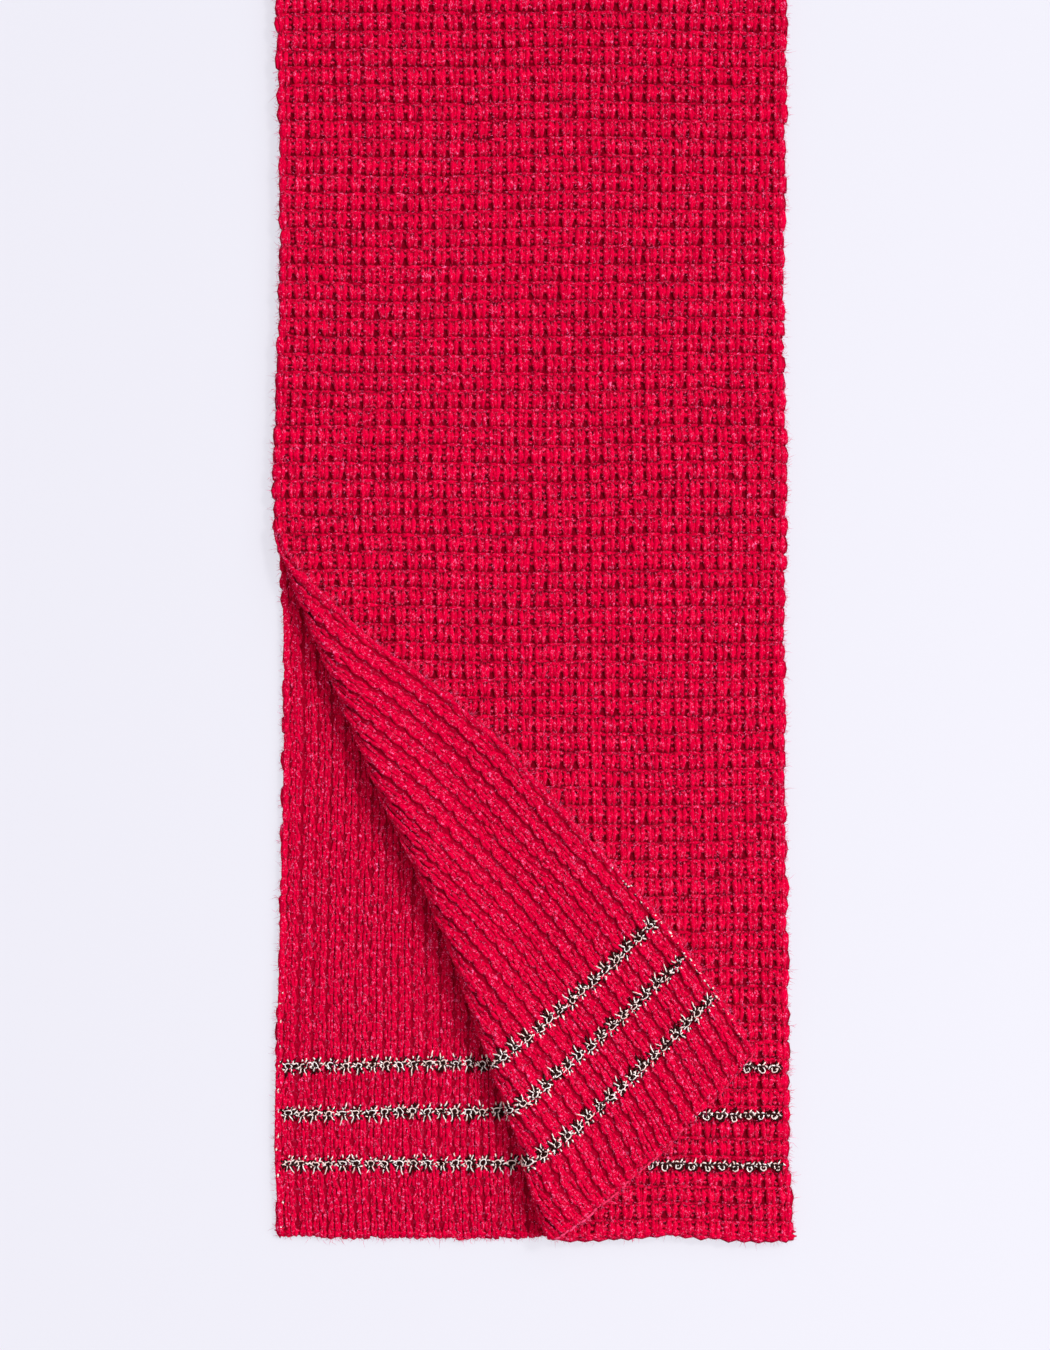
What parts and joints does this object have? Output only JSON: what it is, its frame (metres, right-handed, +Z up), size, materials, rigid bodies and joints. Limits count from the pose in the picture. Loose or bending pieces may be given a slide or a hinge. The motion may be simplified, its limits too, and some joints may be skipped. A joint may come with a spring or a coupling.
{
  "type": "knit scarf",
  "caption": "Thick waffle-knit scarf folded crosswise and laid flat, with one lower corner of the upper layer rolled back and metallic stitch rows near the hems.",
  "frame": {"origin": "centre of the folded scarf's footprint, on the surface it lies on", "axes": "+Y up the scarf's length from the hems towards the crosswise fold, +X to the right across its width, +Z up from the surface"},
  "size_m": [0.2355, 0.9001, 0.0208],
  "materials": {
    "knit_red": "matte brushed wool-blend knit",
    "metallic_yarn": "pale gold metallic twisted yarn"
  },
  "bodies": {
    "root": {"lower_half": "knit_red", "crosswise_fold": "knit_red", "upper_half": "knit_red", "turned_corner": "knit_red", "lower_stripe_top": "metallic_yarn", "turned_stripe_top": "metallic_yarn", "upper_stripe_top": "metallic_yarn", "lower_stripe_middle": "metallic_yarn", "turned_stripe_middle": "metallic_yarn", "upper_stripe_middle": "metallic_yarn", "lower_stripe_bottom": "metallic_yarn", "turned_stripe_bottom": "metallic_yarn", "upper_stripe_bottom": "metallic_yarn"}
  },
  "joints": []
}
